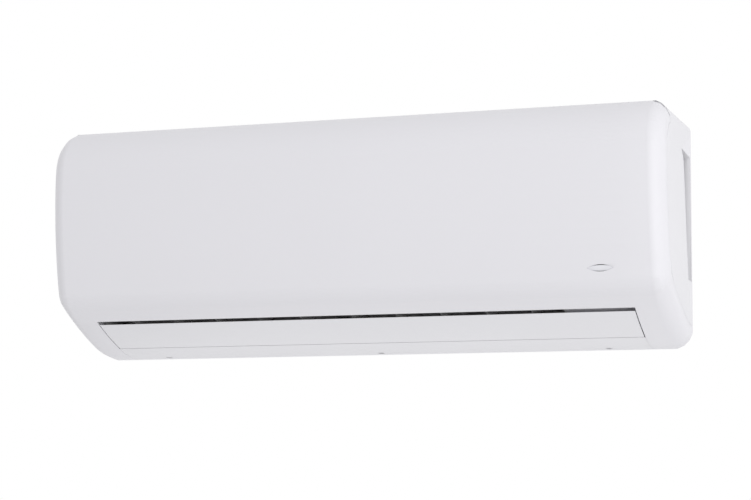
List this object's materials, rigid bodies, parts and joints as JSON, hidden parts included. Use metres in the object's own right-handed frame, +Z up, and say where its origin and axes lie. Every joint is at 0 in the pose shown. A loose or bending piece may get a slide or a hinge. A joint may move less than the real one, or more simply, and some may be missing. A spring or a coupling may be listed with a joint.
{
  "type": "mini split indoor unit",
  "caption": "Wall-hung indoor unit of a split air conditioner, white, with a wrap-round front panel, a long louver, finger scoops and a working crossflow fan.",
  "frame": {"origin": "centre of the wall plate's back face, at half the unit's length and half its height, on the wall's surface", "axes": "+X along the unit, to the right seen from the front; +Y into the wall, the front looks along -Y; +Z up"},
  "size_m": [0.805, 0.194, 0.285],
  "materials": {
    "white_plastic": "satin moulded",
    "grey_plastic": "matt moulded",
    "dark_plastic": "matt moulded",
    "filter_mesh": "fine woven mesh",
    "fan_plastic": "matt moulded",
    "vane_plastic": "matt moulded",
    "zinc_steel": "galvanised",
    "bright_steel": "ground",
    "motor_steel": "zinc plated",
    "fin_aluminium": "mill finish",
    "copper": "drawn copper tube",
    "brass": "machined",
    "rubber": "matt",
    "smoked_window": "polished, smoked",
    "circuit_board": "lacquered laminate",
    "terminal_plastic": "moulded",
    "button_plastic": "satin moulded"
  },
  "bodies": {
    "unit": {"front_casing": "white_plastic", "top_grille": "white_plastic", "rear_chassis": "grey_plastic", "louver_support": "grey_plastic", "pipe_clamp": "grey_plastic", "drain_pan": "dark_plastic", "electrical_box": "dark_plastic", "box_cover": "dark_plastic", "vane_rail_left": "dark_plastic", "vane_rail_right": "dark_plastic", "mounting_plate": "zinc_steel", "motor_clamp": "zinc_steel", "coil_plate_left": "zinc_steel", "coil_plate_right": "zinc_steel", "fan_bearing": "bright_steel", "box_screws": "bright_steel", "casing_screws": "bright_steel", "fan_motor": "motor_steel", "louver_motor": "motor_steel", "coil_front_lower": "fin_aluminium", "coil_front_upper": "fin_aluminium", "coil_rear": "fin_aluminium", "coil_bends": "copper", "gas_tube": "copper", "liquid_tube": "copper", "coil_sensor": "copper", "gas_union": "brass", "liquid_union": "brass", "bearing_seat": "rubber", "control_board": "circuit_board", "display_board": "circuit_board", "terminal_block": "terminal_plastic"},
    "front_panel": {"front_panel": "white_plastic", "receiver_window": "smoked_window"},
    "louver": {"louver": "white_plastic", "louver_motor_shaft": "bright_steel"},
    "fan": {"crossflow_fan": "fan_plastic", "fan_stub_shaft": "bright_steel", "motor_shaft": "bright_steel"},
    "filter_left": {"air_filter_left": "dark_plastic", "filter_mesh_left": "filter_mesh"},
    "filter_right": {"air_filter_right": "dark_plastic", "filter_mesh_right": "filter_mesh"},
    "button": {"manual_button": "button_plastic"},
    "drain_cap": {"drain_plug": "rubber"},
    "vane_left_1": {"vane_left_1": "vane_plastic"},
    "vane_left_2": {"vane_left_2": "vane_plastic"},
    "vane_left_3": {"vane_left_3": "vane_plastic"},
    "vane_left_4": {"vane_left_4": "vane_plastic"},
    "vane_left_5": {"vane_left_5": "vane_plastic"},
    "link_bar_left": {"link_bar_left": "dark_plastic"},
    "vane_right_1": {"vane_right_1": "vane_plastic"},
    "vane_right_2": {"vane_right_2": "vane_plastic"},
    "vane_right_3": {"vane_right_3": "vane_plastic"},
    "vane_right_4": {"vane_right_4": "vane_plastic"},
    "vane_right_5": {"vane_right_5": "vane_plastic"},
    "link_bar_right": {"link_bar_right": "dark_plastic"}
  },
  "joints": [
    {"name": "panel_hinge", "type": "hinge", "parent": "unit", "child": "front_panel", "pos_m": [0, -0.14994, 0.13305], "axis": [-1, 0, 0], "range_deg": [0, 55]},
    {"name": "louver_swing", "type": "hinge", "parent": "unit", "child": "louver", "pos_m": [0, -0.06997, -0.12155], "axis": [1, 0, 0], "range_deg": [0, 80]},
    {"name": "fan_spin", "type": "hinge", "parent": "unit", "child": "fan", "pos_m": [0, -0.088, -0.0305], "axis": [1, 0, 0], "continuous": true},
    {"name": "filter_left_lift", "type": "slide", "parent": "unit", "child": "filter_left", "axis": [0, 0, 1], "range_m": [0, 0.005]},
    {"name": "filter_right_lift", "type": "slide", "parent": "unit", "child": "filter_right", "axis": [0, 0, 1], "range_m": [0, 0.005]},
    {"name": "button_press", "type": "slide", "parent": "unit", "child": "button", "axis": [0, 1, 0], "range_m": [0, 0.0012], "stiffness_N_per_m": 400, "springref_m": -0.0005},
    {"name": "drain_cap_pull", "type": "slide", "parent": "unit", "child": "drain_cap", "axis": [1, 0, 0], "range_m": [0, 0.017]},
    {"name": "vane_left_1_swing", "type": "hinge", "parent": "unit", "child": "vane_left_1", "pos_m": [-0.31016, -0.057, -0.0925], "axis": [0, 1, 0], "range_deg": [-30, 30]},
    {"name": "vane_left_2_swing", "type": "hinge", "parent": "unit", "child": "vane_left_2", "pos_m": [-0.25224, -0.057, -0.0925], "axis": [0, 1, 0], "range_deg": [-30, 30]},
    {"name": "vane_left_3_swing", "type": "hinge", "parent": "unit", "child": "vane_left_3", "pos_m": [-0.19433, -0.057, -0.0925], "axis": [0, 1, 0], "range_deg": [-30, 30]},
    {"name": "vane_left_4_swing", "type": "hinge", "parent": "unit", "child": "vane_left_4", "pos_m": [-0.13641, -0.057, -0.0925], "axis": [0, 1, 0], "range_deg": [-30, 30]},
    {"name": "vane_left_5_swing", "type": "hinge", "parent": "unit", "child": "vane_left_5", "pos_m": [-0.0785, -0.057, -0.0925], "axis": [0, 1, 0], "range_deg": [-30, 30]},
    {"name": "link_bar_left_pivot", "type": "hinge", "parent": "vane_left_1", "child": "link_bar_left", "pos_m": [-0.31016, -0.068, -0.084], "axis": [0, 1, 0], "range_deg": [-30, 30]},
    {"name": "vane_right_1_swing", "type": "hinge", "parent": "unit", "child": "vane_right_1", "pos_m": [-0.009, -0.057, -0.0925], "axis": [0, 1, 0], "range_deg": [-30, 30]},
    {"name": "vane_right_2_swing", "type": "hinge", "parent": "unit", "child": "vane_right_2", "pos_m": [0.04891, -0.057, -0.0925], "axis": [0, 1, 0], "range_deg": [-30, 30]},
    {"name": "vane_right_3_swing", "type": "hinge", "parent": "unit", "child": "vane_right_3", "pos_m": [0.10683, -0.057, -0.0925], "axis": [0, 1, 0], "range_deg": [-30, 30]},
    {"name": "vane_right_4_swing", "type": "hinge", "parent": "unit", "child": "vane_right_4", "pos_m": [0.16474, -0.057, -0.0925], "axis": [0, 1, 0], "range_deg": [-30, 30]},
    {"name": "vane_right_5_swing", "type": "hinge", "parent": "unit", "child": "vane_right_5", "pos_m": [0.22266, -0.057, -0.0925], "axis": [0, 1, 0], "range_deg": [-30, 30]},
    {"name": "link_bar_right_pivot", "type": "hinge", "parent": "vane_right_1", "child": "link_bar_right", "pos_m": [-0.009, -0.068, -0.084], "axis": [0, 1, 0], "range_deg": [-30, 30]}
  ],
  "couplings": [
    {"joint": "vane_left_2_swing", "follows": "vane_left_1_swing", "ratio": 1},
    {"joint": "vane_left_3_swing", "follows": "vane_left_1_swing", "ratio": 1},
    {"joint": "vane_left_4_swing", "follows": "vane_left_1_swing", "ratio": 1},
    {"joint": "vane_left_5_swing", "follows": "vane_left_1_swing", "ratio": 1},
    {"joint": "link_bar_left_pivot", "follows": "vane_left_1_swing", "ratio": -1},
    {"joint": "vane_right_2_swing", "follows": "vane_right_1_swing", "ratio": 1},
    {"joint": "vane_right_3_swing", "follows": "vane_right_1_swing", "ratio": 1},
    {"joint": "vane_right_4_swing", "follows": "vane_right_1_swing", "ratio": 1},
    {"joint": "vane_right_5_swing", "follows": "vane_right_1_swing", "ratio": 1},
    {"joint": "link_bar_right_pivot", "follows": "vane_right_1_swing", "ratio": -1}
  ]
}
